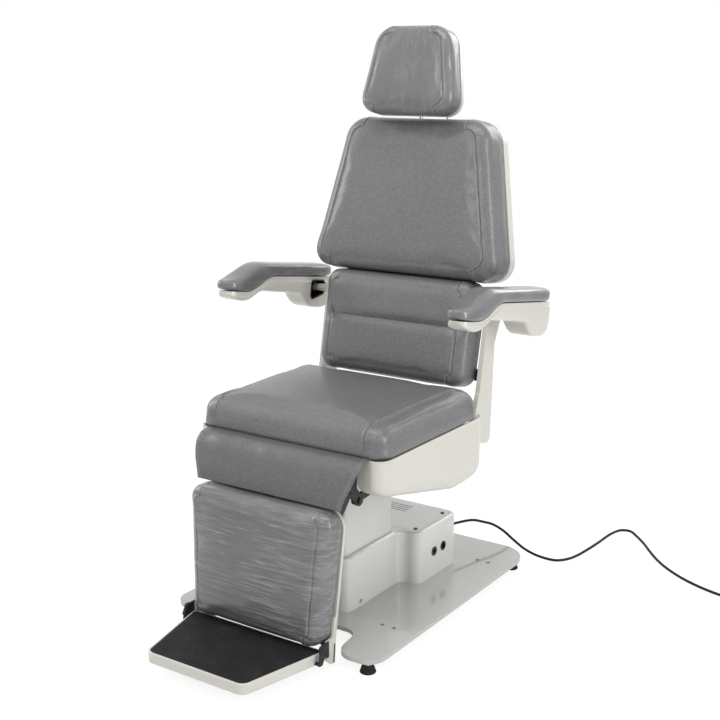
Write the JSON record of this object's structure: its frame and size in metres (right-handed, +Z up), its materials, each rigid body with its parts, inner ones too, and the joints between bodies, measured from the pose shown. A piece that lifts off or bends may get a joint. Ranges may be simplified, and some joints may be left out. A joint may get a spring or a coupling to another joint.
{
  "type": "examination chair",
  "caption": "Reclining examination chair: lifting column on a floor plate, linked backrest and legrest, flip-up armrests, sliding headrest, folding footplate and mains lead.",
  "frame": {"origin": "on the floor, under the centre of the outline without its mains lead", "axes": "X across the chair with the sitter's left at +X, Y from the footplate to the rear, Z up"},
  "size_m": [1.3445, 1.3743, 1.3794],
  "materials": {
    "plate_paint": "light grey-green gloss paint",
    "foot_rubber": "black rubber",
    "zinc": "zinc plated steel",
    "cover_plastic": "pale grey glossy moulding",
    "sleeve_plastic": "pale grey painted sheet",
    "black_metal": "black satin paint",
    "black_plastic": "black moulding",
    "glide_plastic": "natural nylon",
    "steel": "bright ground steel",
    "cream_plastic": "cream moulding",
    "cream_metal": "cream gloss paint",
    "upholstery": "mid grey leatherette, fine grain",
    "board": "dark stained plywood",
    "cord_rubber": "black flexible sheath",
    "mat_rubber": "black ribbed rubber"
  },
  "bodies": {
    "base": {"floor_plate": "plate_paint", "foot_pads": "foot_rubber", "foot_studs": "zinc", "base_cover": "cover_plastic", "service_lid": "cover_plastic", "lid_screws": "black_metal", "cover_screws": "zinc", "control_sockets": "black_plastic", "fixed_column": "black_metal", "column_bolts": "zinc", "glide_pads": "glide_plastic", "fixed_sleeve": "sleeve_plastic", "lift_actuator": "black_metal", "control_box": "black_metal", "cord_gland": "cord_rubber", "mains_cord": "cord_rubber", "cord_coil": "cord_rubber", "mains_plug": "cord_rubber"},
    "lift": {"lift_mast": "steel", "lift_rod": "steel", "moving_sleeve": "sleeve_plastic", "seat_frame": "black_metal", "seat_cover": "cream_plastic", "seat_board": "board", "seat_cushion": "upholstery", "knee_brackets": "black_metal", "knee_pins": "steel", "recline_actuator": "black_metal", "apron": "upholstery"},
    "backrest": {"recline_shaft": "steel", "side_strut_left": "cream_metal", "side_strut_right": "cream_metal", "back_frame": "black_metal", "crossbar": "cream_metal", "lumbar_board": "board", "lumbar_cushion": "upholstery", "upper_board": "board", "upper_cushion": "upholstery", "back_shell": "cream_plastic", "headrest_guide": "black_plastic"},
    "recline_rod": {"recline_rod": "steel"},
    "coupling_link": {"coupling_link": "steel"},
    "headrest_carriage": {"headrest_posts": "steel"},
    "headrest": {"headrest_shell": "cream_plastic", "headrest_cushion": "upholstery"},
    "armrest_left": {"armrest_shell_left": "cream_plastic", "armrest_pad_left": "upholstery", "armrest_hub_left": "black_plastic"},
    "armrest_right": {"armrest_shell_right": "cream_plastic", "armrest_pad_right": "upholstery", "armrest_hub_right": "black_plastic"},
    "legrest": {"legrest_arms": "black_metal", "legrest_plate": "cream_plastic", "legrest_pad": "upholstery", "foot_brackets": "black_metal", "fold_pins": "steel"},
    "footplate": {"footplate_hinges": "black_metal", "footplate": "cream_plastic", "footplate_mat": "mat_rubber"}
  },
  "joints": [
    {"name": "lift", "type": "slide", "parent": "base", "child": "lift", "axis": [0, 0, 1], "range_m": [0, 0.2]},
    {"name": "recline", "type": "hinge", "parent": "lift", "child": "backrest", "pos_m": [0, 0.273, 0.42], "axis": [-1, 0, 0], "range_deg": [0, 80]},
    {"name": "recline_drive", "type": "slide", "parent": "lift", "child": "recline_rod", "axis": [0, -1, 0], "range_m": [0, 0.058]},
    {"name": "link_swing", "type": "hinge", "parent": "backrest", "child": "coupling_link", "pos_m": [0.1485, 0.30514, 0.3817], "axis": [-1, 0, 0], "range_deg": [-80, 0]},
    {"name": "legrest_raise", "type": "hinge", "parent": "lift", "child": "legrest", "pos_m": [0, -0.145, 0.378], "axis": [-1, 0, 0], "range_deg": [0, 80], "deforming": ["apron"]},
    {"name": "footplate_fold", "type": "hinge", "parent": "legrest", "child": "footplate", "pos_m": [0, -0.302, 0.066], "axis": [-1, 0, 0], "range_deg": [0, 80]},
    {"name": "headrest_height", "type": "slide", "parent": "backrest", "child": "headrest_carriage", "axis": [0, 0.1959, 0.9806], "range_m": [0, 0.08]},
    {"name": "headrest_tilt", "type": "hinge", "parent": "headrest_carriage", "child": "headrest", "pos_m": [0, 0.44151, 1.25313], "axis": [-1, 0, 0], "range_deg": [0, 20]},
    {"name": "armrest_left_lift", "type": "hinge", "parent": "backrest", "child": "armrest_left", "pos_m": [0.326, 0.3712, 0.70733], "axis": [-1, 0, 0], "range_deg": [0, 95]},
    {"name": "armrest_right_lift", "type": "hinge", "parent": "backrest", "child": "armrest_right", "pos_m": [-0.326, 0.3712, 0.70733], "axis": [-1, 0, 0], "range_deg": [0, 95]}
  ],
  "couplings": [
    {"joint": "recline_drive", "follows": "recline", "m_per_rad": 0.041433},
    {"joint": "link_swing", "follows": "recline", "ratio": -1},
    {"joint": "legrest_raise", "follows": "recline", "ratio": 1}
  ]
}
